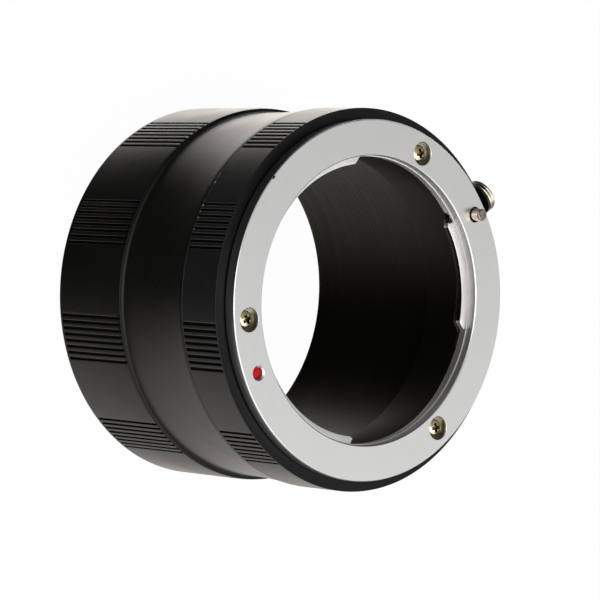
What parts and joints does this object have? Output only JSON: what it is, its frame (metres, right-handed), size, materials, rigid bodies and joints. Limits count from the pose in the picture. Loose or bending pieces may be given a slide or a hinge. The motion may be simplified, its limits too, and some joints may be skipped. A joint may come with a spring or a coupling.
{
  "type": "macro_extension_tube",
  "caption": "Black turned macro extension tube with a chromed claw bayonet for a lens in front, a sprung lock pin, a side release knob, ribbed grip rings and an open bore",
  "frame": {"origin": "centre of the rear end face, on the optical axis; the tube stands on that face", "axes": "+Z along the optical axis towards the lens side; the lock pin and its knob lie halfway between +X and +Y"},
  "size_m": [0.0642, 0.0642, 0.0459],
  "materials": {
    "black_tube": "satin black anodised",
    "black_ring": "satin black anodised",
    "chrome": "satin, with fine circular tool marks",
    "screw": "yellow passivated",
    "red_enamel": "gloss",
    "pin": "polished",
    "spring": "bright",
    "black_knob": "satin black anodised",
    "knob_screw": "nickel plated",
    "leaf": "dull"
  },
  "bodies": {
    "tube": {"extension_tube": "black_tube", "mount_ring": "black_ring", "bayonet_flange": "chrome", "flange_screw_1": "screw", "flange_screw_2": "screw", "flange_screw_3": "screw", "index_dot": "red_enamel", "lock_pin_spring": "spring", "leaf_spring_1": "leaf", "leaf_spring_2": "leaf", "leaf_spring_3": "leaf"},
    "release": {"lock_pin": "pin", "release_knob": "black_knob", "release_knob_screw": "knob_screw"}
  },
  "joints": [
    {"name": "lock_release", "type": "slide", "parent": "tube", "child": "release", "axis": [0, 0, -1], "range_m": [0, 0.0021], "stiffness_N_per_m": 400, "springref_m": -0.0015, "deforming": ["lock_pin_spring"]}
  ]
}
